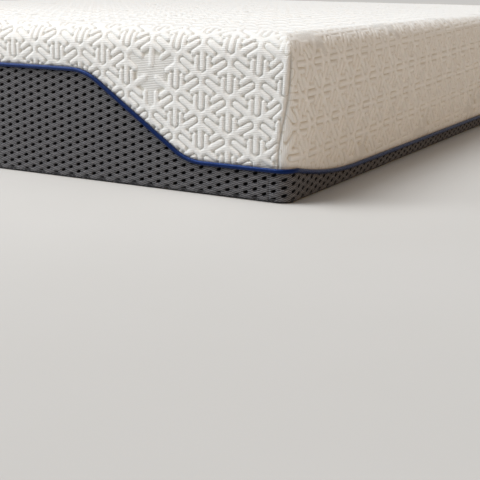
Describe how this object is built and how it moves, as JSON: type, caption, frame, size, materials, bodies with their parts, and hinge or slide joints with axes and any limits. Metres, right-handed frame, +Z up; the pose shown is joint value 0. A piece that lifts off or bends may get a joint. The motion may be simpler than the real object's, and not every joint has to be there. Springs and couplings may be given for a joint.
{
  "type": "memory foam mattress",
  "caption": "Rectangular foam mattress in a zip-off cover: quilted pale knit over the top, dark mesh border, curved piping between them, layered foam in a sock inside.",
  "frame": {"origin": "on the floor under the middle of the mattress", "axes": "+Z up; +Y along the length towards the head end, where the zip is; +X across the width; the foot end faces -Y"},
  "size_m": [1.524, 2.032, 0.254],
  "materials": {
    "knit": "stretch jacquard knit, pale warm white, raised bars",
    "padding": "polyester fibre wadding",
    "scrim": "thin non-woven scrim",
    "seam_tape": "woven twill tape",
    "piping": "navy satin-weave fabric with a soft sheen",
    "cord_filler": "soft cotton filler cord",
    "mesh": "charcoal spacer mesh with staggered oval holes",
    "lining": "dark thin foam laminated to a non-woven",
    "bottom_fabric": "dark woven non-slip fabric",
    "zip_tape": "black herringbone polyester tape",
    "zip_coil": "black nylon monofilament coil",
    "zip_metal": "tumbled nickel plate",
    "label": "blank white satin tape",
    "sock": "white ribbed knit",
    "comfort_foam": "pale blue open-cell viscoelastic foam",
    "transition_foam": "cream open-cell foam",
    "core_foam": "pale grey high-density foam",
    "glue": "dried water-based foam adhesive"
  },
  "bodies": {
    "mattress": {"knit_face": "knit", "quilt_padding": "padding", "quilt_backing": "scrim", "corner_seam_tapes": "seam_tape", "piping_sleeve": "piping", "piping_cord": "cord_filler", "mesh_border_foot": "mesh", "mesh_border_head": "mesh", "mesh_border_left": "mesh", "mesh_border_right": "mesh", "border_lining": "lining", "bottom_panel": "bottom_fabric", "zip_tape_upper": "zip_tape", "zip_tape_lower": "zip_tape", "zip_coil_upper": "zip_coil", "zip_coil_lower": "zip_coil", "zip_end_stops": "zip_metal", "care_label": "label", "fire_sock": "sock", "fire_sock_base": "sock", "comfort_foam": "comfort_foam", "glue_film_upper": "glue", "transition_foam": "transition_foam", "glue_film_lower": "glue", "core_foam": "core_foam"},
    "zip_slider": {"zip_slider": "zip_metal"},
    "zip_pull": {"zip_pull": "zip_metal"}
  },
  "joints": [
    {"name": "zip_slide", "type": "slide", "parent": "mattress", "child": "zip_slider", "axis": [1, 0, 0], "range_m": [0, 1.366]},
    {"name": "pull_swing", "type": "hinge", "parent": "zip_slider", "child": "zip_pull", "pos_m": [-0.683, 1.01135, 0.02], "axis": [0, 0, 1], "range_deg": [0, 180]}
  ]
}
